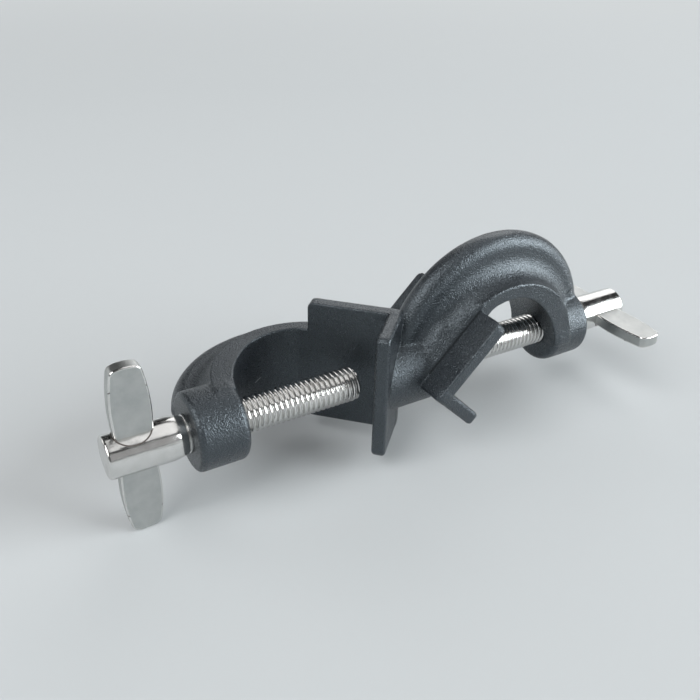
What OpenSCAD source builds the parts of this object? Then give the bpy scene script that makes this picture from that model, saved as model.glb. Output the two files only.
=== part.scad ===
// Boss head clamp: one cast body with two crossed clamping jaws and two wing screws.
// X runs along both screws, Z along the stand rod in the left jaw, Y along the rod in the right jaw.
// The modules draw the clamp about its middle, where the right half is the left half turned half a
// turn about the line at Y = Z. The origin of the finished part is the left jaw's inner corner.

/* [Jaws] */
// Distance from the middle to the inner corner of each V jaw (mm)
jaw_corner = 4.4; // [3.5:0.1:8]
// Length of the long jaw plate, from the inner corner (mm)
long_plate = 18.9; // [15:0.1:22]
// Length of the short jaw plate, from the inner corner (mm)
short_plate = 12; // [8:0.1:18]
// Height of both jaw plates along the rod (mm)
plate_height = 31.5; // [22:0.5:44]
// Thickness of the jaw plates (mm)
plate_thick = 3.3; // [2.4:0.1:5]
// Rounding of the jaw plates' free corners (mm)
plate_corner = 1.2; // [0.5:0.1:3]

/* [Arms] */
// Clear distance from a jaw's inner corner to the boss opposite it (mm)
reach = 37.4; // [34:0.1:48]
// Half thickness of the arm's web, which is also the crest's rounding (mm)
web_half = 3.3; // [2.5:0.1:5]
// Thickness of the arm's inner strip where it is thinnest, at the top of the arm (mm)
strip_wall = 3.5; // [2.5:0.1:6]
// Straight length of the web's sides, between the coves and the round crest (mm)
web_straight = 1.05; // [0.05:0.05:4]

/* [Bosses] */
// Radius of the threaded bosses and of the neck between the jaws (mm)
boss_radius = 8.75; // [7.5:0.05:11]
// Length of each boss along its screw (mm)
boss_length = 11.2; // [8:0.1:16]
// Rounding of the bosses' edges (mm)
boss_round = 1.2; // [0.5:0.1:2]

/* [Screws] */
// Thread diameter, crest to crest (mm)
thread_diameter = 8; // [6:0.5:10]
// Radial clearance between a screw and its threaded bore (mm)
thread_clearance = 0.05; // [0.02:0.01:0.1]
// Gap between each screw's tip and its jaw's inner corner, screwed fully in (mm)
tip_gap = 8.4; // [6:0.1:20]
// Length of each screw's head, beyond the boss (mm)
head_length = 17.2; // [12:0.1:24]
// How much larger the head's radius is than the thread's (mm)
head_step = 0.75; // [0.4:0.05:2]

/* [Wings] */
// Distance from the boss to the wings' centre line (mm)
wing_offset = 10.9; // [8:0.1:14]
// Half of the wings' span (mm)
wing_half_span = 20.1; // [15:0.1:28]
// Width of the wings at the middle (mm)
wing_width = 8.3; // [6:0.1:10]
// Thickness of the wings (mm)
wing_thick = 3; // [1.5:0.1:4]

/* [Hidden] */
$fn = 96;
// Both jaw plates stand at this angle to the screws.
jaw_angle = 45;
tip_x = -jaw_corner - long_plate * cos(jaw_angle);
tip_y = long_plate * sin(jaw_angle);
short_tip_x = -jaw_corner - short_plate * cos(jaw_angle);
short_tip_y = -short_plate * sin(jaw_angle);
boss_inner = jaw_corner + reach;
boss_outer = boss_inner + boss_length;
// The arm's inside starts at the long plate as an arc about this point, as wide as the reach asks.
inside_x = -jaw_corner - 0.5455 * reach;
inside_y = 0.0588 * reach;
inside_radius = 0.3717 * reach;
// The arm's strip, coves and crest are turned about this point.
arm_x = -jaw_corner - 0.567 * reach;
arm_y = -0.032 * reach;
strip_outer = inside_y + inside_radius + strip_wall - arm_y;
// The strip is a hair narrower than the boss it runs into, and each cove spans from strip to web.
strip_half = boss_radius - 0.1;
cove_radius = strip_half - web_half;
crest_radius = strip_outer + cove_radius + web_straight + web_half;
// The crest stops, to the nearest degree, where its end comes down to the boss's outer edge.
crest_end = 180 - round(atan((boss_radius - boss_round - arm_y) / (boss_outer + arm_x)));
// The inside's first arc gives way at this angle to a flatter one, which ends at the boss.
flank_start = 130;
flank_radius = 0.6417 * reach;
flank_x = inside_x - (flank_radius - inside_radius) * cos(flank_start);
flank_y = inside_y - (flank_radius - inside_radius) * sin(flank_start);
thread_radius = thread_diameter / 2;
bore_radius = thread_radius + thread_clearance;
screw_tip = jaw_corner + tip_gap;
tip_chamfer = 0.8;
// The screw's plain collar, which stops a hair short of the boss, and its rounded shoulder.
collar_start = boss_outer + 0.05;
collar_end = boss_outer + 0.8;
collar_radius = thread_radius + 0.15;
head_radius = thread_radius + head_step;
shoulder_end = boss_outer + 4.5;
shoulder = [for (u = [0:0.25:1]) [
  head_radius - (head_radius - collar_radius) * (1 - u) * (1 - u),
  collar_end + u * (shoulder_end - collar_end)
]];
// The head tapers a little towards its rounded end.
head_end = boss_outer + head_length;
head_taper = 0.08;
head_edge = 0.6;
head_rounding = [for (turn = [0:30:90]) [
  head_radius - head_taper - head_edge * (1 - cos(turn)),
  head_end - head_edge * (1 - sin(turn))
]];
wing_centre = boss_outer + wing_offset;
// How much each side of a wing bows out, and the radii of its ends and corners.
side_bulge = 0.93;
side_radius = (wing_half_span * wing_half_span / side_bulge + side_bulge) / 2;
side_x = side_radius - wing_width / 2;
end_radius = 0.84 * wing_width;
end_y = wing_half_span - end_radius;
wing_corner = 1.1;
// The middle of a corner's rounding, which touches both arcs, worked out from its distance to
// each arc's own middle.
side_reach = side_radius - wing_corner;
end_reach = end_radius - wing_corner;
arc_gap = sqrt(side_x * side_x + end_y * end_y);
corner_cos = (side_reach * side_reach + arc_gap * arc_gap - end_reach * end_reach)
  / (2 * side_reach * arc_gap);
corner_turn = atan2(end_y, side_x) + acos(corner_cos);
corner_x = side_reach * cos(corner_turn) - side_x;
corner_y = side_reach * sin(corner_turn);
// The space cut between jaw and arm reaches about halfway into the plates, by this much at the V's
// corner and at the plates' tips, and a little past the long plate's tip.
cut_at_corner = 0.7 * plate_thick;
cut_at_tip = 0.4 * plate_thick;
cut_past_tip = 0.3;
// Lengths that only have to overlap, or to reach past the body.
overlap = 2;
far = 80;
deep = 40;

// From the clamp's middle to its place, with the left jaw's inner corner at the origin.
module placed() {
  translate([jaw_corner, 0, 0]) children();
}

// The half turn that carries the left half onto the right half.
module half_turn() {
  rotate(a = 180, v = [0, 1, 1]) children();
}

// A plate lying along +X from the corner, with its outer side towards -Y and two rounded free corners.
module jaw_plate(length) {
  rotate([90, 0, 0]) linear_extrude(height = plate_thick) {
    translate([-plate_thick, -plate_height / 2])
      square([length + plate_thick - plate_corner, plate_height]);
    translate([length - 2 * plate_corner, plate_corner - plate_height / 2])
      square([2 * plate_corner, plate_height - 2 * plate_corner]);
    translate([length - plate_corner, plate_height / 2 - plate_corner]) circle(r = plate_corner);
    translate([length - plate_corner, plate_corner - plate_height / 2]) circle(r = plate_corner);
  }
}

// The V of the left jaw, opened towards the left screw.
module jaw() {
  translate([-jaw_corner, 0, 0]) rotate([0, 0, 180 - jaw_angle]) jaw_plate(long_plate);
  translate([-jaw_corner, 0, 0]) mirror([0, 1, 0]) rotate([0, 0, 180 - jaw_angle])
    jaw_plate(short_plate);
}

// The arm's section, right of the turning axis: the inner strip and its two coves.
module strip_section() {
  difference() {
    translate([inside_radius, -strip_half])
      square([strip_outer + cove_radius - inside_radius, 2 * strip_half]);
    translate([strip_outer + cove_radius, web_half + cove_radius]) circle(r = cove_radius);
    translate([strip_outer + cove_radius, -web_half - cove_radius]) circle(r = cove_radius);
  }
}

// The whole section: the same with the web and its round crest.
module arm_section() {
  strip_section();
  translate([inside_radius, -web_half])
    square([crest_radius - web_half - inside_radius, 2 * web_half]);
  translate([crest_radius - web_half, 0]) circle(r = web_half);
}

// The space past the crest's end, down to the middle of the web's straight sides.
module crest_cut() {
  rotate([0, 0, crest_end]) rotate_extrude(angle = 200 - crest_end)
    translate([strip_outer + cove_radius + web_straight / 2, -strip_half])
      square([far, 2 * strip_half]);
}

// The left arm, from the neck over the top to the boss. Its crest ends short of the boss.
module arm() {
  translate([arm_x, arm_y, 0]) difference() {
    rotate_extrude(angle = 180) arm_section();
    crest_cut();
  }
}

// The boss: a short cylinder about the screw with rounded edges.
module boss() {
  rotate([0, -90, 0]) rotate_extrude() {
    translate([0, boss_inner]) square([boss_radius - boss_round, boss_outer - boss_inner]);
    translate([0, boss_inner + boss_round])
      square([boss_radius, boss_outer - boss_inner - 2 * boss_round]);
    translate([boss_radius - boss_round, boss_inner + boss_round]) circle(r = boss_round);
    translate([boss_radius - boss_round, boss_outer - boss_round]) circle(r = boss_round);
  }
}

// The space inside the left jaw and arm, as a flat outline. It reaches halfway into the plates,
// which are added whole after it is cut.
module inside_outline() {
  polygon([
    [cut_at_corner - jaw_corner, 0],
    [tip_x + cut_at_tip, tip_y],
    [tip_x, tip_y + cut_past_tip],
    [inside_x, tip_y],
    [inside_x - inside_radius + overlap, 0],
    [-boss_inner, -deep],
    [short_tip_x, -deep],
    [short_tip_x + cut_at_tip, short_tip_y]
  ]);
  intersection() {
    translate([inside_x, inside_y]) circle(r = inside_radius);
    translate([tip_x - far, 0]) square([far, far]);
  }
  intersection() {
    translate([flank_x, flank_y]) circle(r = flank_radius);
    polygon([
      [flank_x, flank_y],
      [flank_x + far * cos(flank_start), flank_y + far * sin(flank_start)],
      [flank_x - far, flank_y + far],
      [flank_x - far, flank_y]
    ]);
  }
}

// The same space as a cut right through the arm and the neck.
module inside_space() {
  translate([0, 0, -deep]) linear_extrude(height = 2 * deep) inside_outline();
}

// The threaded hole through the left boss, a hair wider than the thread.
module screw_bore() {
  translate([-boss_outer - overlap, 0, 0]) rotate([0, 90, 0])
    cylinder(r = bore_radius, h = boss_length + 2 * overlap);
}

// The neck: a round bar on the screws' line, between the backs of the two jaws.
module neck() {
  rotate([0, 90, 0]) cylinder(r = boss_radius, h = 2 * boss_radius, center = true);
}

// The two arms and the neck, with the spaces inside the jaws and arms cut out.
module arms() {
  difference() {
    union() {
      arm();
      half_turn() arm();
      neck();
    }
    inside_space();
    half_turn() inside_space();
  }
}

module clamp_body() {
  color([0.24, 0.26, 0.28]) placed() difference() {
    union() {
      arms();
      jaw();
      boss();
      half_turn() jaw();
      half_turn() boss();
    }
    screw_bore();
    half_turn() screw_bore();
  }
}

// A screw turned in one piece: chamfered tip, threaded shank, collar, rounded shoulder and head.
module screw() {
  difference() {
    rotate([0, -90, 0]) rotate_extrude() polygon(concat(
      [
        [0, screw_tip],
        [thread_radius - tip_chamfer, screw_tip],
        [thread_radius, screw_tip + tip_chamfer],
        [thread_radius, collar_start],
        [collar_radius, collar_start]
      ],
      shoulder,
      head_rounding,
      [[0, head_end]]
    ));
    wing_slot();
  }
}

// The slot through the head, exactly as wide and as thick as the wing inside it.
module wing_slot() {
  intersection() {
    translate([-wing_centre - wing_width, -wing_thick / 2, -head_radius - 1])
      cube([2 * wing_width, wing_thick, 2 * head_radius + 2]);
    rotate([90, 0, 0]) linear_extrude(height = 2 * wing_thick, center = true) wing_outline();
  }
}

// The sharp tip of one corner, beyond the two points where the corner's rounding begins.
module wing_tip() {
  polygon([
    [corner_x, corner_y],
    [side_radius * (corner_x + side_x) / side_reach - side_x, side_radius * corner_y / side_reach],
    [corner_x + wing_width, corner_y + wing_width],
    [end_radius * corner_x / end_reach, end_y + end_radius * (corner_y - end_y) / end_reach]
  ]);
}

// The wing's barrel shape: bowed sides, arched ends and rounded corners.
module wing_outline() {
  translate([-wing_centre, 0]) {
    difference() {
      intersection() {
        translate([side_x, 0]) circle(r = side_radius, $fn = 720);
        translate([-side_x, 0]) circle(r = side_radius, $fn = 720);
        union() {
          translate([0, end_y]) circle(r = end_radius);
          translate([0, -end_y]) circle(r = end_radius);
          square([wing_width, 2 * end_y], center = true);
        }
      }
      wing_tip();
      mirror([1, 0]) wing_tip();
      mirror([0, 1]) wing_tip();
      mirror([0, 1]) mirror([1, 0]) wing_tip();
    }
    for (side = [-1, 1], end = [-1, 1])
      translate([side * corner_x, end * corner_y]) circle(r = wing_corner);
  }
}

module wing() {
  rotate([90, 0, 0]) linear_extrude(height = wing_thick, center = true) wing_outline();
}

module left_screw() {
  color([0.8, 0.8, 0.82]) placed() screw();
}

module left_wing() {
  color([0.62, 0.64, 0.65]) placed() wing();
}

module right_screw() {
  color([0.8, 0.8, 0.82]) placed() half_turn() screw();
}

module right_wing() {
  color([0.62, 0.64, 0.65]) placed() half_turn() wing();
}

clamp_body();
left_screw();
left_wing();
right_screw();
right_wing();
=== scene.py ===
"""Boss head clamp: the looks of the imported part, built in metres in its own frame.

The cast body is drawn as a distance field in millimetres and meshed, so that it has real fillets
and rounded edges. The screws have real helical threads. The right half is the left half turned half
a turn about the line through the middle at Y = Z.
"""

import math

import bmesh
import bpy
import numpy as np
from mathutils import Matrix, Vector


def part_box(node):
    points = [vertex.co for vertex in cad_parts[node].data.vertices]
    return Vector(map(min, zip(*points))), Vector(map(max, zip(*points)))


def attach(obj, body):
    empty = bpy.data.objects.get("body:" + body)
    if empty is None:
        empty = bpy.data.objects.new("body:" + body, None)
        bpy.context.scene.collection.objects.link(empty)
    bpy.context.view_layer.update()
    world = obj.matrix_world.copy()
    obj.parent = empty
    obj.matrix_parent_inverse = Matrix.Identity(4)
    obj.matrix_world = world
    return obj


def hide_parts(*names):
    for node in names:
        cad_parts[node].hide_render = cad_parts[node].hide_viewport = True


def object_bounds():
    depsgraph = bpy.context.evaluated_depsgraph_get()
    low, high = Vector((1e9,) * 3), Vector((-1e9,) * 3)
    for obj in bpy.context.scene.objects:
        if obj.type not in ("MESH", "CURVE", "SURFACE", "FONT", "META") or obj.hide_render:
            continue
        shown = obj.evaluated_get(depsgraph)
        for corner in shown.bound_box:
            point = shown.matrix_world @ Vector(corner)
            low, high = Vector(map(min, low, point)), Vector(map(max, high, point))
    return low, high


MM = 0.001

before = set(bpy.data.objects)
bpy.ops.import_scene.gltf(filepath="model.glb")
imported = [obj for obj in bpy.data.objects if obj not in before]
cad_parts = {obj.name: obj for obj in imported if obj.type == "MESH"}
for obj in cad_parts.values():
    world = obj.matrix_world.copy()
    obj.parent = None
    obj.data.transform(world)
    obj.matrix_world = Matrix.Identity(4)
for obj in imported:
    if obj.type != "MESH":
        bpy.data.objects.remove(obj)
frame_low, frame_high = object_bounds()
# Everything is drawn about the clamp's middle, on the screws' line, and piece() puts it in place.
MIDDLE = (frame_low[0] + frame_high[0]) / 2


def mm_box(node):
    """The node's corners in millimetres from the clamp's middle."""
    low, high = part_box(node)
    middle = np.array([MIDDLE, 0, 0])
    return (np.array(low) - middle) / MM, (np.array(high) - middle) / MM


# ---------------------------------------------------------------- sizes, in millimetres

body_low, body_high = mm_box("clamp_body")
screw_low, screw_high = mm_box("left_screw")
wing_low, wing_high = mm_box("left_wing")

JAW_CORNER = 4.4
LONG_PLATE = 18.9
SHORT_PLATE = 12.0
PLATE_THICK = 3.3
PLATE_HALF = -body_low[2]
PLATE_CORNER = 1.5
# the slope of the plates' faces: the sine and cosine of 45 degrees
DIAGONAL = math.sqrt(0.5)
# from a jaw's inner corner to the boss opposite it
REACH = 37.4
# half the web's thickness, which is also the crest's rounding
WEB = 3.3
BOSS_R = 8.75
BOSS_LENGTH = 11.2
BOSS_INNER = JAW_CORNER + REACH
BOSS_OUTER = BOSS_INNER + BOSS_LENGTH
STRIP_WALL = 3.5
STRIP_HALF = BOSS_R - 0.1
COVE = STRIP_HALF - WEB
# the round inside of an arm: an arc about INSIDE, then a flatter one about FLANK down to the boss
INSIDE = np.array([-JAW_CORNER - 0.5455 * REACH, 0.0588 * REACH])
INSIDE_R = 0.3717 * REACH
FLANK_R = 0.6417 * REACH
FLANK_START = math.radians(130)
FLANK = INSIDE - (FLANK_R - INSIDE_R) * np.array([math.cos(FLANK_START), math.sin(FLANK_START)])
# the strip and its coves are turned about one point, the crest about another a little above it
ARM = np.array([-JAW_CORNER - 0.567 * REACH, -0.032 * REACH])
STRIP_R = INSIDE[1] + INSIDE_R + STRIP_WALL - ARM[1]
CREST = ARM + np.array([0.4, 1.67])
CREST_R = 29.34
CREST_END = math.radians(162)
TIP = np.array([-JAW_CORNER - LONG_PLATE * DIAGONAL, LONG_PLATE * DIAGONAL])
SHORT_TIP = np.array([-JAW_CORNER - SHORT_PLATE * DIAGONAL, -SHORT_PLATE * DIAGONAL])
# a height below the whole clamp
BELOW = -40
# the rest of the space inside a jaw and its arm: along the plates, then down and out
INSIDE_CORNERS = [
    (0.7 * PLATE_THICK - JAW_CORNER, 0),
    (TIP[0] + 1.72, TIP[1] - 0.4),
    (TIP[0] + 1.17, TIP[1] - 1.24),
    (INSIDE[0], TIP[1] - 1.24),
    (INSIDE[0] - INSIDE_R + 2, 0),
    (-BOSS_INNER, BELOW),
    (SHORT_TIP[0], BELOW),
    (SHORT_TIP[0] + 0.4 * PLATE_THICK, SHORT_TIP[1]),
]
BORE_R = 4.05
# the bores are cut only beyond this distance from the middle, clear of the neck and the jaws
BORE_START = 38.5
THREAD_R = 4.0
ROOT_R = 3.25
PITCH = 1.25
TIP_CHAMFER = 0.8
# the screw's collar stands this far from the boss; behind it come a groove, a shoulder and the head
COLLAR = BOSS_OUTER + 0.05
COLLAR_R = 4.13
GROOVE_R = 3.96
SHOULDER = COLLAR + 0.72
SHOULDER_R = 4.07
SHOULDER_LENGTH = 3.7
HEAD_R = 4.75
HEAD_TAPER = 0.08
HEAD_ROUND = 0.6
# the line where an arm's side meets the back of its long jaw plate, as X and Z on the right half
CREASE = ((2.4, 2.67), (15.3, 15.57))


def turned(p):
    """Points of the left half carried onto the right half, and back."""
    return np.stack([-p[..., 0], p[..., 2], p[..., 1]], axis=-1)


# ---------------------------------------------------------------- the casting as a distance field


def join(a, b, r):
    """Two shapes joined with a fillet of radius r."""
    u, v = np.maximum(r - a, 0), np.maximum(r - b, 0)
    return np.maximum(r, np.minimum(a, b)) - np.hypot(u, v)


def meet(a, b, r):
    """What two shapes share, with its edges rounded to radius r."""
    u, v = np.maximum(r + a, 0), np.maximum(r + b, 0)
    return np.minimum(-r, np.maximum(a, b)) + np.hypot(u, v)


def box2(x, y, hx, hy, r):
    """A flat rectangle about the origin with corners of radius r."""
    u, v = np.abs(x) - hx + r, np.abs(y) - hy + r
    return np.hypot(np.maximum(u, 0), np.maximum(v, 0)) + np.minimum(np.maximum(u, v), 0) - r


def plate(x, y, z, side, length):
    """One jaw plate. Its inner face runs from the V's corner outwards; side is +1 for the long one."""
    along = (-(x + JAW_CORNER) + side * y) * DIAGONAL
    depth = ((x + JAW_CORNER) + side * y) * DIAGONAL
    start = -PLATE_THICK
    flat = box2(along - (length + start) / 2, z, (length - start) / 2, PLATE_HALF, PLATE_CORNER)
    inner = np.abs(depth - PLATE_THICK / 2) - PLATE_THICK / 2
    return meet(flat, inner, 0.4 if side > 0 else 0.9)


def jaw(x, y, z):
    """The left V jaw."""
    return join(plate(x, y, z, 1, LONG_PLATE), plate(x, y, z, -1, SHORT_PLATE), 0.4)


def arm(x, y, z):
    """Strip, coves, web and crest of the left arm, each turned about its own centre."""
    dx, dy = x - ARM[0], y - ARM[1]
    radius = np.hypot(dx, dy)
    crest = np.hypot(x - CREST[0], y - CREST[1]) - (CREST_R - WEB)
    web = np.hypot(np.maximum(crest, 0), z) - WEB
    # the crest stops just above the boss, with a rounded lip, and stays above the arm's centre
    past_end = dy * math.cos(CREST_END) - dx * math.sin(CREST_END)
    past_end = np.where(dy < -1.0, 10.0, past_end)
    web = meet(web, past_end, 1.3)
    # under the lip, the web goes on between the coves down to the boss
    foot = np.maximum(np.abs(z) - WEB, radius - STRIP_R - COVE)
    web = np.minimum(web, np.maximum(foot, -dy - 0.5))
    section = np.maximum(join(radius - STRIP_R, web, COVE), -dy)
    # the arm's thick root runs along the back of the long jaw plate
    along = (y - x - JAW_CORNER) * DIAGONAL
    depth = (y + x + JAW_CORNER) * DIAGONAL
    root = box2(along - 3.5, depth - PLATE_THICK - 0.7, 6.5, 1.7, 0.8)
    # its fillet stays out of the middle of the arm's open inside
    section = np.maximum(join(section, root, 3.0), 12.0 - radius)
    # the strip's outer edge slopes down to the plate's back
    inwards = STRIP_HALF - np.abs(z)
    level = PLATE_THICK + 0.05 + inwards + 6 * np.maximum(inwards - 2.6, 0)
    level += 0.8 * np.maximum(along - LONG_PLATE, 0)
    section = meet(section, (depth - level) * DIAGONAL, 0.5)
    return meet(section, np.abs(z) - STRIP_HALF, 0.4)


def polygon(x, y, corners):
    """Signed distance to a closed outline, negative inside it."""
    far = np.full(x.shape, 1e9)
    sign = np.ones(x.shape)
    for (ax, ay), (bx, by) in zip(corners, corners[1:] + corners[:1]):
        ex, ey = bx - ax, by - ay
        wx, wy = x - ax, y - ay
        t = np.clip((wx * ex + wy * ey) / (ex * ex + ey * ey), 0, 1)
        far = np.minimum(far, (wx - ex * t) ** 2 + (wy - ey * t) ** 2)
        above, below = y >= ay, y < by
        left = ex * wy > ey * wx
        crosses = (above & below & left) | (~above & ~below & ~left)
        sign = np.where(crosses, -sign, sign)
    return sign * np.sqrt(far)


def inside(x, y):
    """The flat space inside the left jaw and arm: negative within it."""
    first = np.hypot(x - INSIDE[0], y - INSIDE[1]) - INSIDE_R
    # the long plate's inner face runs on smoothly into the round inside of the arm
    first = np.maximum(meet(first, (x + JAW_CORNER + y) * DIAGONAL, 0.2), -y)
    flank = np.hypot(x - FLANK[0], y - FLANK[1]) - FLANK_R
    ray = (x - FLANK[0]) * math.sin(FLANK_START) - (y - FLANK[1]) * math.cos(FLANK_START)
    flank = np.maximum(flank, np.maximum(ray, FLANK[1] - y))
    return np.minimum(np.minimum(first, flank), polygon(x, y, INSIDE_CORNERS))


def boss(x, y, z):
    """The boss, with its inner edge a little rounder than its outer one."""
    along = x + (BOSS_INNER + BOSS_OUTER) / 2
    rounding = np.where(along > 0, 1.65, 1.2)
    return box2(along, np.hypot(y, z), BOSS_LENGTH / 2, BOSS_R, rounding)


def casting(p):
    """The whole body: negative inside the metal."""
    x, y, z = p[..., 0], p[..., 1], p[..., 2]
    q = turned(p)
    u, v, w = q[..., 0], q[..., 1], q[..., 2]
    neck = np.maximum(np.hypot(y, z) - BOSS_R, np.abs(x) - BOSS_R)
    arms = join(arm(x, y, z), arm(u, v, w), 0.8)
    arms = join(arms, neck, 0.7)
    arms = meet(arms, -inside(x, y), 0.4)
    arms = meet(arms, -inside(u, v), 0.4)
    jaws = np.minimum(jaw(x, y, z), jaw(u, v, w))
    whole = join(arms, jaws, 0.06)
    whole = join(whole, boss(x, y, z), 0.6)
    whole = join(whole, boss(u, v, w), 0.6)
    bore = BORE_R - np.hypot(y, z)
    return np.where(np.abs(x) > BORE_START, meet(whole, bore, 0.3), whole)


def slope(field, p, h=0.02):
    """The field's gradient at each point."""
    g = np.empty_like(p)
    for i in range(3):
        step = np.zeros(3)
        step[i] = h
        g[:, i] = (field(p + step) - field(p - step)) / (2 * h)
    return g


def net(field, low, high, pitch):
    """A quad mesh of the field's surface: one vertex for each cell the surface passes through."""
    axes = [np.arange(low[i], high[i] + pitch, pitch) for i in range(3)]
    grid = np.stack(np.meshgrid(*axes, indexing="ij"), axis=-1)
    f = np.concatenate([field(part) for part in np.array_split(grid, 16)])
    shape = np.array(f.shape) - 1
    total = np.zeros((*shape, 3))
    count = np.zeros(shape)
    crossed = []
    for a in range(3):
        b, c = (a + 1) % 3, (a + 2) % 3
        head = [slice(None)] * 3
        tail = [slice(None)] * 3
        head[a], tail[a] = slice(0, -1), slice(1, None)
        f0, f1 = f[tuple(head)], f[tuple(tail)]
        hit = (f0 < 0) != (f1 < 0)
        i = np.argwhere(hit)
        t = f0[hit] / (f0[hit] - f1[hit])
        point = np.stack([axes[k][i[:, k]] for k in range(3)], axis=1)
        point[:, a] += t * pitch
        crossed.append((a, i, f0[hit] < 0))
        for db in (0, -1):
            for dc in (0, -1):
                j = i.copy()
                j[:, b] += db
                j[:, c] += dc
                ok = ((j >= 0) & (j < shape)).all(1)
                key = tuple(j[ok].T)
                np.add.at(total, key, point[ok])
                np.add.at(count, key, 1)
    used = count > 0
    index = np.full(shape, -1)
    index[used] = np.arange(used.sum())
    p = total[used] / count[used][:, None]
    quads = []
    for a, i, inward in crossed:
        b, c = (a + 1) % 3, (a + 2) % 3
        ring = []
        for db, dc in ((-1, -1), (0, -1), (0, 0), (-1, 0)):
            j = i.copy()
            j[:, b] += db
            j[:, c] += dc
            ring.append(index[tuple(j.T)])
        q = np.stack(ring, axis=1)
        q[~inward] = q[~inward][:, ::-1]
        quads.append(q)
    # a few steps along the gradient bring the points onto the surface itself
    for _ in range(3):
        value, g = field(p), slope(field, p)
        move = g * (value / np.maximum((g * g).sum(1), 0.2))[:, None]
        size = np.linalg.norm(move, axis=1, keepdims=True)
        p = p - move * np.minimum(1, 0.4 * pitch / np.maximum(size, 1e-9))
    g = slope(field, p)
    return p, np.concatenate(quads), g / np.maximum(np.linalg.norm(g, axis=1, keepdims=True), 1e-9)


# ---------------------------------------------------------------- meshes


def piece(name, points, faces, normals=None):
    """A mesh object from points in millimetres."""
    mesh = bpy.data.meshes.new(name)
    places = np.asarray(points) * MM + np.array([MIDDLE, 0, 0])
    mesh.from_pydata(places.tolist(), [], [list(map(int, q)) for q in faces])
    mesh.update()
    mesh.polygons.foreach_set("use_smooth", np.ones(len(mesh.polygons), bool))
    if normals is not None:
        mesh.normals_split_custom_set_from_vertices(np.asarray(normals).tolist())
    obj = bpy.data.objects.new(name, mesh)
    bpy.context.collection.objects.link(obj)
    return obj


def body_mesh():
    """The casting's mesh, kept inside the CAD body's box."""
    pitch = 0.46
    p, quads, normals = net(casting, body_low - 1, body_high + 1, pitch)
    p = np.clip(p, body_low, body_high)
    return piece("casting", p, quads, normals)


def spiral(around):
    """The threaded shank, in rows that follow the helix, from the tip up to the collar."""
    tip = -screw_high[0]
    # one pitch of the thread: its crest is at 0 and 1 and its root at a half, both rounded
    per = 14
    turns = int(math.ceil((COLLAR - tip) / PITCH)) + 2
    rows = per * turns
    phase = np.arange(rows) % per / per
    t = np.clip((1 - np.abs(2 * phase - 1) - 0.1) / 0.78, 0, 1)
    depth = t * t * (3 - 2 * t) * (THREAD_R - ROOT_R)
    start = (np.arange(rows) // per + phase - 1) * PITCH + tip
    theta = np.arange(around) / around
    s = start[:, None] + (1 - theta[None, :]) * PITCH
    # the groove runs out just before the collar
    fade = np.clip((COLLAR - 0.9 - s) / 1.2, 0, 1)
    r = THREAD_R - depth[:, None] * fade
    r = np.minimum(r, THREAD_R - TIP_CHAMFER + np.clip(s - tip, 0, None))
    r = np.where(s <= tip, THREAD_R - TIP_CHAMFER, r)
    s = np.clip(s, tip, COLLAR)
    a = 2 * math.pi * theta[None, :] * np.ones_like(s)
    points = np.stack([-s, r * np.cos(a), r * np.sin(a)], axis=-1).reshape(-1, 3)
    faces = []
    for k in range(rows - 1):
        row = k * around
        for j in range(around - 1):
            faces.append((row + j, row + j + 1, row + around + j + 1, row + around + j))
        # the row's end meets the start of the row one turn further back
        if k >= per:
            back = (k - per) * around
            faces.append((row + around - 1, back, back + around, row + 2 * around - 1))
    return points, faces


def lathe(profile, around, close_start=False, close_end=False):
    """A profile of (distance along the screw, radius) turned about the screw's axis."""
    profile = np.asarray(profile, float)
    a = 2 * math.pi * np.arange(around) / around
    n = len(profile)
    points = np.stack(
        [
            np.repeat(-profile[:, 0], around),
            (profile[:, 1:] * np.cos(a)).ravel(),
            (profile[:, 1:] * np.sin(a)).ravel(),
        ],
        axis=1,
    )
    faces = []
    for i in range(n - 1):
        for j in range(around):
            k = (j + 1) % around
            faces.append((i * around + j, i * around + k, (i + 1) * around + k, (i + 1) * around + j))
    if close_start:
        faces.append(tuple(reversed(range(around))))
    if close_end:
        faces.append(tuple((n - 1) * around + j for j in range(around)))
    return points, faces


def arc(cx, cy, r, a0, a1, n):
    """Points on an arc from angle a0 to a1, in degrees."""
    t = np.radians(np.linspace(a0, a1, n))
    return [(cx + r * math.cos(v), cy + r * math.sin(v)) for v in t]


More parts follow.
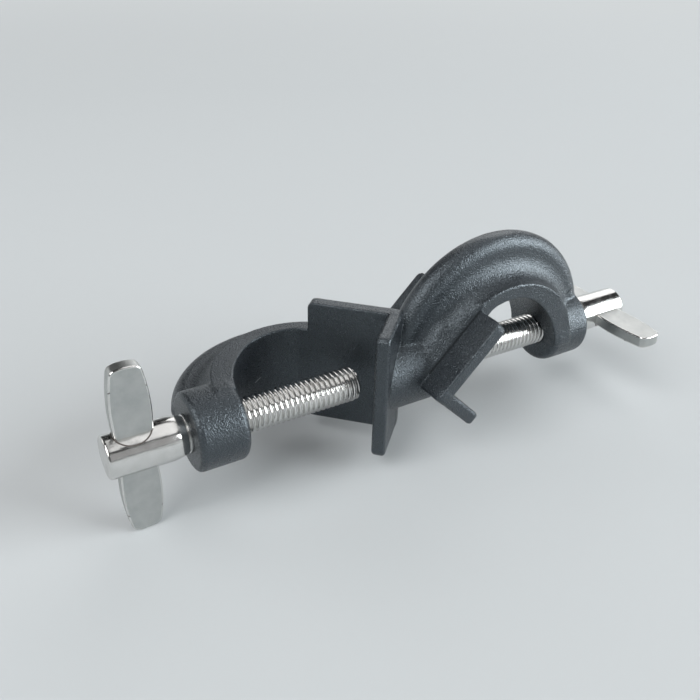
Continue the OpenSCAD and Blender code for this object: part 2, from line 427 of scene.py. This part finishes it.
def screw_mesh(name):
    """The left screw: threaded shank, bright collar, ogive shoulder and head with a nearly flat end."""
    around = 96
    head_end = -screw_low[0]
    # a collar ring, a fine groove behind it, then the shoulder
    head = [(COLLAR, 3.6), (COLLAR, 4.05), (COLLAR + 0.06, COLLAR_R)]
    head += [(COLLAR + 0.40, COLLAR_R), (COLLAR + 0.46, 4.08), (COLLAR + 0.52, GROOVE_R)]
    head += [(COLLAR + 0.66, GROOVE_R), (SHOULDER, 4.06)]
    for t in np.linspace(0.02, 1, 16):
        r = HEAD_R - (HEAD_R - SHOULDER_R) * (1 - t) ** 2.1
        head.append((SHOULDER + SHOULDER_LENGTH * t, r))
    head_start = SHOULDER + SHOULDER_LENGTH
    for t in np.linspace(0.1, 1, 8):
        head.append((head_start + t * (head_end - 0.62 - head_start), HEAD_R - HEAD_TAPER * t))
    end_r = HEAD_R - HEAD_TAPER
    head += arc(head_end - HEAD_ROUND, end_r - HEAD_ROUND, HEAD_ROUND, 84, 6, 7)
    # the end face bulges by a hair
    head += [(head_end - 0.015, 3.9), (head_end - 0.005, 2.5), (head_end, 1.2)]
    points, faces = spiral(around)
    more, sides = lathe(head, around, close_end=True)
    tip = -screw_high[0]
    cap, cap_faces = lathe([(tip, 1.0), (tip, THREAD_R - TIP_CHAMFER)], around, close_start=True)
    faces += [tuple(v + len(points) for v in q) for q in sides]
    faces += [tuple(v + len(points) + len(more) for v in q) for q in cap_faces]
    obj = piece(name, np.concatenate([points, more, cap]), faces)
    # the three parts are welded into one skin
    b = bmesh.new()
    b.from_mesh(obj.data)
    bmesh.ops.remove_doubles(b, verts=b.verts, dist=2e-6)
    bmesh.ops.dissolve_degenerate(b, edges=b.edges, dist=1e-7)
    bmesh.ops.recalc_face_normals(b, faces=b.faces)
    b.to_mesh(obj.data)
    b.free()
    obj.data.polygons.foreach_set("use_smooth", np.ones(len(obj.data.polygons), bool))
    obj.data.set_sharp_from_angle(angle=math.radians(38))
    return obj


def wing_outline():
    """Points round the wing with their outward directions, about its own middle."""
    half = wing_high[2]
    # each end is a petal: a long side arc, widest part way out, a corner and an arched end
    widest, widest_y, side_r, corner, end_r = 4.15, 9.5, 47.0, 1.5, 9.0
    side_x = side_r - widest
    rise = half - end_r - widest_y
    a, b, gap = side_r - corner, end_r - corner, math.hypot(side_x, rise)
    turn = math.atan2(rise, side_x) + math.acos((a * a + gap * gap - b * b) / (2 * a * gap))
    cx, cy = a * math.cos(turn) - side_x, a * math.sin(turn) + widest_y
    start = -math.asin(widest_y / side_r)
    to_end = math.atan2(cy - (half - end_r), cx)
    quarter = []
    for t in np.linspace(start, turn, 22, endpoint=False):
        quarter.append((side_r * math.cos(t) - side_x, side_r * math.sin(t) + widest_y, t))
    for t in np.linspace(turn, to_end, 9, endpoint=False):
        quarter.append((cx + corner * math.cos(t), cy + corner * math.sin(t), t))
    for t in np.linspace(to_end, math.pi / 2, 10):
        quarter.append((end_r * math.cos(t), half - end_r + end_r * math.sin(t), t))
    first = [(x, y, math.cos(t), math.sin(t)) for x, y, t in quarter]
    second = [(-x, y, -nx, ny) for x, y, nx, ny in reversed(first[:-1])]
    top = first + second
    return np.array(top + [(-x, -y, -nx, -ny) for x, y, nx, ny in top[1:-1]])


def wing_mesh(name):
    """A flat plate with rounded edges, passing right through the screw's head.

    Returns it with a mark for each face: 1 for the rounded edges and 0 for the flat parts.
    """
    ring = wing_outline()
    n = len(ring)
    middle = (wing_low[0] + wing_high[0]) / 2
    half, edge = (wing_high[1] - wing_low[1]) / 2, 0.38
    rows = []
    normals = []
    for sign in (-1, 1):
        angles = np.linspace(90, 0, 6) if sign < 0 else np.linspace(0, 90, 6)
        for v in np.radians(angles):
            off = edge * (math.cos(v) - 1)
            x = ring[:, 0] + ring[:, 2] * off
            z = ring[:, 1] + ring[:, 3] * off
            y = np.full(n, sign * (half - edge + edge * math.sin(v)))
            rows.append(np.stack([x + middle, y, z], axis=1))
            nx, nz = ring[:, 2] * math.cos(v), ring[:, 3] * math.cos(v)
            normals.append(np.stack([nx, np.full(n, sign * math.sin(v)), nz], axis=1))
    points, normals = np.concatenate(rows), np.concatenate(normals)
    faces = []
    count = len(rows)
    for i in range(count - 1):
        for j in range(n):
            k = (j + 1) % n
            faces.append((i * n + j, (i + 1) * n + j, (i + 1) * n + k, i * n + k))
    marks = [int(i // n != count // 2 - 1) for i in range(len(faces))] + [0, 0]
    faces.append(tuple(range(n)))
    faces.append(tuple((count - 1) * n + j for j in reversed(range(n))))
    return piece(name, points, faces, normals), marks


def half_turned(obj, name):
    """A copy of a left piece carried onto the right side."""
    copy = obj.copy()
    copy.data = obj.data.copy()
    copy.name = copy.data.name = name
    bpy.context.collection.objects.link(copy)
    copy.data.transform(Matrix(((-1, 0, 0, 2 * MIDDLE), (0, 0, 1, 0), (0, 1, 0, 0), (0, 0, 0, 1))))
    return copy


# ---------------------------------------------------------------- materials

BACKDROP = (0.66, 0.69, 0.70)


class Surface:
    """A Principled material with short ways to add procedural detail to it."""

    def __init__(self, name):
        self.data = bpy.data.materials.new(name)
        self.data.use_nodes = True
        self.nodes, self.links = self.data.node_tree.nodes, self.data.node_tree.links
        self.shader = self.nodes["Principled BSDF"]
        self.place = self.nodes.new("ShaderNodeTexCoord").outputs["Object"]

    def feed(self, socket, source):
        """Drives one of the shader's inputs."""
        self.links.new(source, self.shader.inputs[socket])

    def noise(self, scale, detail=2.0, roughness=0.5, stretch=None):
        """Noise in the object's own space, with features about 1/scale metres wide."""
        n = self.nodes.new("ShaderNodeTexNoise")
        n.inputs["Scale"].default_value = scale
        n.inputs["Detail"].default_value = detail
        n.inputs["Roughness"].default_value = roughness
        source = self.place
        if stretch:
            mapping = self.nodes.new("ShaderNodeMapping")
            mapping.inputs["Scale"].default_value = stretch
            self.links.new(source, mapping.inputs["Vector"])
            source = mapping.outputs["Vector"]
        self.links.new(source, n.inputs["Vector"])
        return n.outputs["Fac"]

    def ramp(self, source, low, high, a, b):
        """A value that goes from a to b as the source goes from low to high."""
        r = self.nodes.new("ShaderNodeMapRange")
        for k, v in (("From Min", low), ("From Max", high), ("To Min", a), ("To Max", b)):
            r.inputs[k].default_value = v
        self.links.new(source, r.inputs["Value"])
        return r.outputs["Result"]

    def math(self, operation, *values):
        """One step of maths on values, which may be numbers or sockets."""
        n = self.nodes.new("ShaderNodeMath")
        n.operation = operation
        for socket, value in zip(n.inputs, values):
            if isinstance(value, (int, float)):
                socket.default_value = value
            else:
                self.links.new(value, socket)
        return n.outputs["Value"]

    def vector(self, operation, *values):
        """One step of maths on vectors, which may be tuples or sockets."""
        n = self.nodes.new("ShaderNodeVectorMath")
        n.operation = operation
        for socket, value in zip(n.inputs, values):
            if isinstance(value, tuple):
                socket.default_value = value
            else:
                self.links.new(value, socket)
        return n.outputs["Value" if operation in ("DOT_PRODUCT", "LENGTH") else "Vector"]

    def blend(self, factor, a, b):
        """Colour a where the factor is 0 and colour b where it is 1."""
        r = self.nodes.new("ShaderNodeMix")
        r.data_type = "RGBA"
        sockets = [k for k in r.inputs if k.type == "RGBA"]
        for socket, value in zip(sockets, (a, b)):
            if isinstance(value, tuple):
                socket.default_value = (*value, 1)
            else:
                self.links.new(value, socket)
        self.links.new(factor, r.inputs["Factor"])
        return [k for k in r.outputs if k.type == "RGBA"][0]

    def bump(self, height, distance, under=None):
        """A normal from a height, on top of the bump under it."""
        n = self.nodes.new("ShaderNodeBump")
        n.inputs["Distance"].default_value = distance
        self.links.new(height, n.inputs["Height"])
        if under is not None:
            self.links.new(under, n.inputs["Normal"])
        return n.outputs["Normal"]

    def middle(self):
        """The place in millimetres from the clamp's middle."""
        return self.vector(
            "MULTIPLY", self.vector("SUBTRACT", self.place, (MIDDLE, 0, 0)), (1000, 1000, 1000)
        )

    def near(self, place, a, b, width):
        """1 on the straight line from a to b, fading to 0 at this distance from it."""
        a, b = np.array(a, float), np.array(b, float)
        line = b - a
        out = self.vector("SUBTRACT", place, tuple(a))
        share = self.vector("DOT_PRODUCT", out, tuple(line / (line @ line)))
        share = self.math("MINIMUM", self.math("MAXIMUM", share, 0.0), 1.0)
        foot = self.nodes.new("ShaderNodeVectorMath")
        foot.operation = "SCALE"
        foot.inputs[0].default_value = tuple(line)
        self.links.new(share, foot.inputs["Scale"])
        gap = self.vector("LENGTH", self.vector("SUBTRACT", out, foot.outputs["Vector"]))
        return self.ramp(gap, width * 0.5, width, 1, 0)


def coat():
    """Charcoal coat on a casting: a fine leathery grain, painted shade in the creases and under the
    right crest's lip, and a pale scratch.
    """
    m = Surface("charcoal_coat")
    place = m.middle()
    # painted shade: thin black lines along the creases between arm and plate, on both sides of both
    # arms, standing in for the shade in the step there
    parts = m.nodes.new("ShaderNodeSeparateXYZ")
    m.links.new(place, parts.inputs["Vector"])
    x, y, z = parts.outputs["X"], parts.outputs["Y"], parts.outputs["Z"]
    painted_shade = None
    for along, other, up in ((x, y, z), (m.math("MULTIPLY", x, -1.0), z, y)):
        spot = m.nodes.new("ShaderNodeCombineXYZ")
        m.links.new(along, spot.inputs["X"])
        m.links.new(m.math("ABSOLUTE", other), spot.inputs["Y"])
        m.links.new(up, spot.inputs["Z"])
        (x0, z0), (x1, z1) = CREASE
        line = m.near(spot.outputs["Vector"], (x0, STRIP_HALF, z0), (x1, STRIP_HALF, z1), 0.42)
        painted_shade = line if painted_shade is None else m.math("MAXIMUM", painted_shade, line)
    # painted shadow: a short dark line on one side of the right crest's end, where its lip overhangs
    lip_shadow = m.near(place, (48.3, -WEB, 9.85), (50.0, -WEB, 11.1), 0.26)
    painted_shade = m.math("MAXIMUM", painted_shade, lip_shadow)
    # a pale scratch inside the left arm
    scratch = m.near(place, (-30.94, 14.66, -2.81), (-29.31, 15.34, -2.29), 0.16)
    grain = m.noise(3000, 1.5, 0.55)
    peel = m.noise(900, 2.0, 0.5)
    cloud = m.ramp(m.noise(90, 3.0), 0.35, 0.65, 0, 1)
    tone = m.blend(cloud, (0.012, 0.014, 0.017), (0.020, 0.023, 0.027))
    tone = m.blend(scratch, tone, (0.30, 0.31, 0.32))
    # the painted shade of the creases and the crest's lip is near black, and fully rough so that it
    # shows no highlight
    tone = m.blend(painted_shade, tone, (0.003, 0.003, 0.004))
    m.feed("Base Color", tone)
    m.feed("Roughness", m.math("MAXIMUM", painted_shade, m.ramp(grain, 0.3, 0.7, 0.24, 0.36)))
    m.shader.inputs["Specular IOR Level"].default_value = 1.0
    m.shader.inputs["Specular Tint"].default_value = (0.80, 0.92, 1.0, 1)
    m.feed("Normal", m.bump(grain, 0.00018, under=m.bump(peel, 0.00008)))
    return m.data


def plating():
    """Bright plating with faint streaks along the screw."""
    m = Surface("bright_plating")
    m.shader.inputs["Metallic"].default_value = 1.0
    cloud = m.ramp(m.noise(220, 3.0), 0.35, 0.65, 0, 1)
    tone = m.blend(cloud, (0.66, 0.655, 0.64), (0.76, 0.755, 0.74))
    # painted reflection: a thin dark curve on each head where the wing comes out of it, standing in for
    # the wing's outline mirrored there; arcs about two points up the wing
    reflection_x, reflection_up, reflection_r = 64.15, 9.83, 6.5
    parts = m.nodes.new("ShaderNodeSeparateXYZ")
    m.links.new(m.middle(), parts.inputs["Vector"])
    x, y, z = (parts.outputs[k] for k in ("X", "Y", "Z"))
    on_left = m.math("LESS_THAN", x, 0.0)
    up = m.math("MULTIPLY", m.math("ABSOLUTE", z), on_left)
    up = m.math("MULTIPLY_ADD", m.math("ABSOLUTE", y), m.math("SUBTRACT", 1.0, on_left), up)
    across = m.math("POWER", m.math("SUBTRACT", m.math("ABSOLUTE", x), reflection_x), 2.0)
    over = m.math("POWER", m.math("SUBTRACT", up, reflection_up), 2.0)
    away = m.math("SQRT", m.math("ADD", across, over))
    wing_reflection = m.ramp(m.math("ABSOLUTE", m.math("SUBTRACT", away, reflection_r)), 0.05, 0.14, 1, 0)
    # the painted reflection of the wing's outline, darker than the plating
    tone = m.blend(wing_reflection, tone, (0.14, 0.12, 0.11))
    m.feed("Base Color", tone)
    wear = m.ramp(m.noise(500, 3.0), 0.3, 0.7, 0.12, 0.25)
    m.feed("Roughness", m.math("MAXIMUM", m.math("MULTIPLY", wing_reflection, 0.5), wear))
    streaks = m.noise(700, 2.0, 0.5, stretch=(0.22, 1, 1))
    m.feed("Normal", m.bump(m.noise(900, 2.0, 0.5), 0.00001, under=m.bump(streaks, 0.00006)))
    return m.data


def satin():
    """Satin plating on the wings' faces."""
    m = Surface("satin_plating")
    m.shader.inputs["Metallic"].default_value = 1.0
    cloud = m.ramp(m.noise(260, 4.0, 0.6), 0.3, 0.7, 0, 1)
    tone = m.blend(cloud, (0.44, 0.455, 0.45), (0.53, 0.54, 0.53))
    m.feed("Base Color", tone)
    m.feed("Roughness", m.ramp(m.noise(900, 3.0), 0.3, 0.7, 0.32, 0.44))
    m.feed("Normal", m.bump(m.noise(1500, 3.0, 0.6), 0.00002))
    return m.data


def floor_paint():
    """A pale floor that runs out into the backdrop, as a camera, metal or glass sees it."""
    m = Surface("floor_grey")
    m.shader.inputs["Base Color"].default_value = (0.59, 0.616, 0.627, 1)
    m.shader.inputs["Roughness"].default_value = 1.0
    m.shader.inputs["Specular IOR Level"].default_value = 0.05
    path = m.nodes.new("ShaderNodeLightPath")
    seen = m.math("MAXIMUM", path.outputs["Is Camera Ray"], path.outputs["Is Glossy Ray"])
    seen = m.math("MAXIMUM", seen, path.outputs["Is Transmission Ray"])
    far = m.ramp(m.vector("LENGTH", m.place), 0.4, 1.1, 0, 1)
    glow = m.nodes.new("ShaderNodeEmission")
    glow.inputs["Color"].default_value = (*BACKDROP, 1)
    mix = m.nodes.new("ShaderNodeMixShader")
    m.links.new(m.math("MULTIPLY", seen, far), mix.inputs["Fac"])
    m.links.new(m.shader.outputs["BSDF"], mix.inputs[1])
    m.links.new(glow.outputs["Emission"], mix.inputs[2])
    m.links.new(mix.outputs["Shader"], m.nodes["Material Output"].inputs["Surface"])
    return m.data


# ---------------------------------------------------------------- build

coat_material, bright, dull = coat(), plating(), satin()

body = body_mesh()
body.data.materials.append(coat_material)
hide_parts("clamp_body")
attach(body, "clamp")

left_screw = screw_mesh("left_screw_turned")
left_screw.data.materials.append(bright)
right_screw = half_turned(left_screw, "right_screw_turned")
left_wing, marks = wing_mesh("left_wing_plate")
left_wing.data.materials.append(dull)
left_wing.data.materials.append(bright)
left_wing.data.polygons.foreach_set("material_index", marks)
right_wing = half_turned(left_wing, "right_wing_plate")
for side, screw, wing in (("left", left_screw, left_wing), ("right", right_screw, right_wing)):
    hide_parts(side + "_screw")
    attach(screw, side + "_screw_set")
    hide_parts(side + "_wing")
    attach(wing, side + "_screw_set")

# ---------------------------------------------------------------- stage, light and camera

# the floor is a hair under the clamp's lowest point
FLOOR_Z = frame_low[2] - 0.0001
FLOOR_R = 9.0
# how far the lamps round the clamp stand from it
LAMP_DISTANCE = 2.2


def disc(name, z, radius, around=96):
    """A round flat floor, as rings."""
    points, faces = [], []
    rings = (0.001, 0.1, 0.3, 1.0, radius)
    turn = 2 * math.pi * np.arange(around) / around
    for r in rings:
        points += [(r * math.cos(v), r * math.sin(v), z) for v in turn]
    for i in range(len(rings) - 1):
        for j in range(around):
            k = (j + 1) % around
            faces.append((i * around + j, (i + 1) * around + j, (i + 1) * around + k, i * around + k))
    faces.append(tuple(range(around)))
    return piece(name, np.array(points) / MM, faces)


floor = disc("floor", FLOOR_Z, FLOOR_R)
floor.data.materials.append(floor_paint())


def softbox(name, at, towards, size, power, color=(1, 1, 1)):
    """A rectangular lamp that faces a point."""
    lamp = bpy.data.lights.new(name, "AREA")
    lamp.shape = "RECTANGLE"
    lamp.size, lamp.size_y = size
    lamp.energy = power
    lamp.color = color
    obj = bpy.data.objects.new(name, lamp)
    bpy.context.collection.objects.link(obj)
    obj.location = at
    back = np.array(at, float) - np.array(towards, float)
    back /= np.linalg.norm(back)
    side = np.cross((0, 0, 1) if abs(back[2]) < 0.95 else (0, 1, 0), back)
    side /= np.linalg.norm(side)
    up = np.cross(back, side)
    obj.rotation_euler = Matrix(np.stack([side, up, back], axis=1).tolist()).to_euler()
    return obj


def lamp_place(azimuth, elevation):
    """Where a lamp stands: its azimuth goes from -Y round to +X, both in degrees."""
    a, e = math.radians(azimuth), math.radians(elevation)
    out = np.array([math.sin(a) * math.cos(e), -math.cos(a) * math.cos(e), math.sin(e)])
    return tuple(out * LAMP_DISTANCE)


# a big softbox high on the left and a bright low one at the front right, a long strip overhead,
# and dimmer panels in front and behind
softbox("left", lamp_place(286, 46), (0, 0, 0), (1.6, 1.6), 34)
softbox("front", lamp_place(12, 30), (0, 0, 0), (1.3, 1.3), 1.8)
softbox("front_right", lamp_place(55, 18), (0, 0, 0), (1.6, 1.35), 58, (0.94, 0.98, 1.0))
softbox("overhead", (0.75, 0, 2.2), (0.75, 0, 0), (1.2, 2.8), 11.5)
softbox("back_left", lamp_place(225, 25), (0, 0, 0), (1.0, 0.8), 4.5)
softbox("back_right", lamp_place(135, 28), (0, 0, 0), (1.8, 1.4), 12.5)


def room():
    """A dim room. The camera sees a pale backdrop all round it, and metal sees that low down."""
    world = bpy.data.worlds.new("room")
    world.use_nodes = True
    nodes, links = world.node_tree.nodes, world.node_tree.links
    light = nodes["Background"]
    light.inputs["Color"].default_value = (0.93, 0.97, 1.0, 1)
    place = nodes.new("ShaderNodeTexCoord").outputs["Generated"]
    parts = nodes.new("ShaderNodeSeparateXYZ")
    links.new(place, parts.inputs["Vector"])

    def fall(low, high, a, b):
        """A value that goes from a to b as a direction rises from low to high."""
        r = nodes.new("ShaderNodeMapRange")
        for k, v in (("From Min", low), ("From Max", high), ("To Min", a), ("To Max", b)):
            r.inputs[k].default_value = v
        links.new(parts.outputs["Z"], r.inputs["Value"])
        return r.outputs["Result"]

    links.new(fall(0.1, 0.4, 0.15, 0.015), light.inputs["Strength"])
    behind = nodes.new("ShaderNodeBackground")
    behind.inputs["Color"].default_value = (*BACKDROP, 1)
    path = nodes.new("ShaderNodeLightPath")
    mirrored = nodes.new("ShaderNodeMath")
    mirrored.operation = "MAXIMUM"
    links.new(path.outputs["Is Glossy Ray"], mirrored.inputs[0])
    links.new(path.outputs["Is Transmission Ray"], mirrored.inputs[1])
    horizon = nodes.new("ShaderNodeMath")
    horizon.operation = "MULTIPLY"
    links.new(mirrored.outputs["Value"], horizon.inputs[0])
    links.new(fall(0.06, 0.2, 1, 0), horizon.inputs[1])
    shown = nodes.new("ShaderNodeMath")
    shown.operation = "MAXIMUM"
    links.new(path.outputs["Is Camera Ray"], shown.inputs[0])
    links.new(horizon.outputs["Value"], shown.inputs[1])
    mix = nodes.new("ShaderNodeMixShader")
    links.new(shown.outputs["Value"], mix.inputs["Fac"])
    links.new(light.outputs["Background"], mix.inputs[1])
    links.new(behind.outputs["Background"], mix.inputs[2])
    links.new(mix.outputs["Shader"], nodes["World Output"].inputs["Surface"])
    return world


bpy.context.scene.world = room()

# the photo's camera, as the perspective fit gives it; the angle is its field of view
camera = bpy.data.cameras.new("camera")
camera.sensor_width = 36
camera.lens = 18 / math.tan(math.radians(48.67 / 2))
camera.clip_start, camera.clip_end = 0.01, 10
view = bpy.data.objects.new("camera", camera)
bpy.context.collection.objects.link(view)
view.matrix_world = Matrix(
    (
        (0.86205, 0.24341, -0.44455, MIDDLE - 0.091034),
        (-0.50636, 0.45123, -0.73484, -0.127375),
        (0.02173, 0.85857, 0.51223, 0.097808),
        (0, 0, 0, 1),
    )
)
bpy.context.scene.camera = view
bpy.context.scene.view_settings.view_transform = "Standard"
